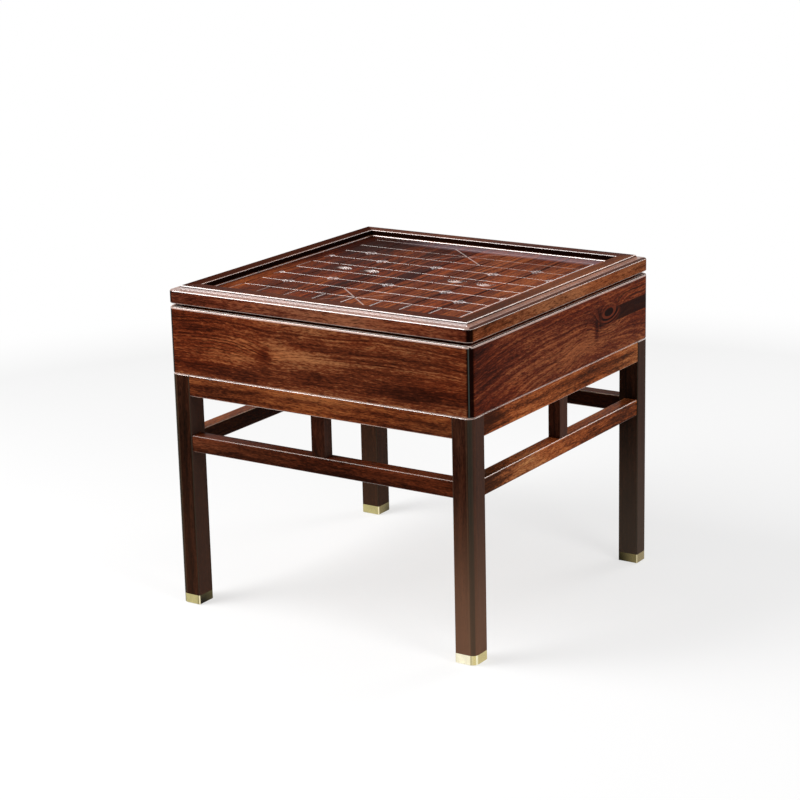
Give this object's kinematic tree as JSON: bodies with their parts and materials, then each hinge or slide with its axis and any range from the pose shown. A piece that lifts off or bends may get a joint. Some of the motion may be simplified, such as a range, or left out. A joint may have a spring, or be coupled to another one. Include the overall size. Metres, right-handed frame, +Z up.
{
  "type": "chess table",
  "caption": "Square chess table with a lift-off lid that carries a sunk, engraved board, a storage box under it, and a leg frame with stretchers and brass foot caps.",
  "frame": {"origin": "on the floor in the middle of the footprint", "axes": "+Z up, +X to the right along the front edge, +Y to the back; the board's files run along Y and its ranks along X"},
  "size_m": [0.6, 0.6, 0.566],
  "materials": {
    "lid_wood": "polished rosewood",
    "board_wood": "polished rosewood",
    "box_wood": "polished figured rosewood",
    "frame_wood": "polished rosewood",
    "leg_wood": "polished dark rosewood",
    "plain_wood": "planed secondary hardwood",
    "brass": "brushed and lacquered",
    "steel": "zinc plated",
    "glide": "moulded nylon"
  },
  "bodies": {
    "table": {"box_wall_front": "box_wood", "box_wall_right": "box_wood", "box_wall_back": "box_wood", "box_wall_left": "box_wood", "box_floor": "plain_wood", "floor_batten_front": "plain_wood", "floor_batten_back": "plain_wood", "seat_strip_front": "box_wood", "seat_strip_right": "box_wood", "seat_strip_back": "box_wood", "seat_strip_left": "box_wood", "box_splines": "plain_wood", "seat_screws": "steel", "box_dowels": "plain_wood", "rail_front": "frame_wood", "stretcher_front": "frame_wood", "strut_front": "leg_wood", "rail_right": "frame_wood", "stretcher_right": "frame_wood", "strut_right": "leg_wood", "rail_back": "frame_wood", "stretcher_back": "frame_wood", "strut_back": "leg_wood", "rail_left": "frame_wood", "stretcher_left": "frame_wood", "strut_left": "leg_wood", "leg_front_left": "leg_wood", "foot_cap_front_left": "brass", "glide_front_left": "glide", "leg_front_right": "leg_wood", "foot_cap_front_right": "brass", "glide_front_right": "glide", "leg_back_right": "leg_wood", "foot_cap_back_right": "brass", "glide_back_right": "glide", "leg_back_left": "leg_wood", "foot_cap_back_left": "brass", "glide_back_left": "glide"},
    "lid": {"lid_frame_front": "lid_wood", "lid_frame_right": "lid_wood", "lid_frame_back": "lid_wood", "lid_frame_left": "lid_wood", "lid_bead_front": "lid_wood", "lid_bead_right": "lid_wood", "lid_bead_back": "lid_wood", "lid_bead_left": "lid_wood", "chess_board": "board_wood", "lid_batten_front": "plain_wood", "lid_batten_back": "plain_wood", "lid_locator_front": "plain_wood", "lid_locator_right": "plain_wood", "lid_locator_back": "plain_wood", "lid_locator_left": "plain_wood", "lid_splines": "plain_wood", "batten_screws": "steel"}
  },
  "joints": [
    {"name": "lid_lift", "type": "slide", "parent": "table", "child": "lid", "axis": [0, 0, 1], "range_m": [0, 0.15]}
  ]
}
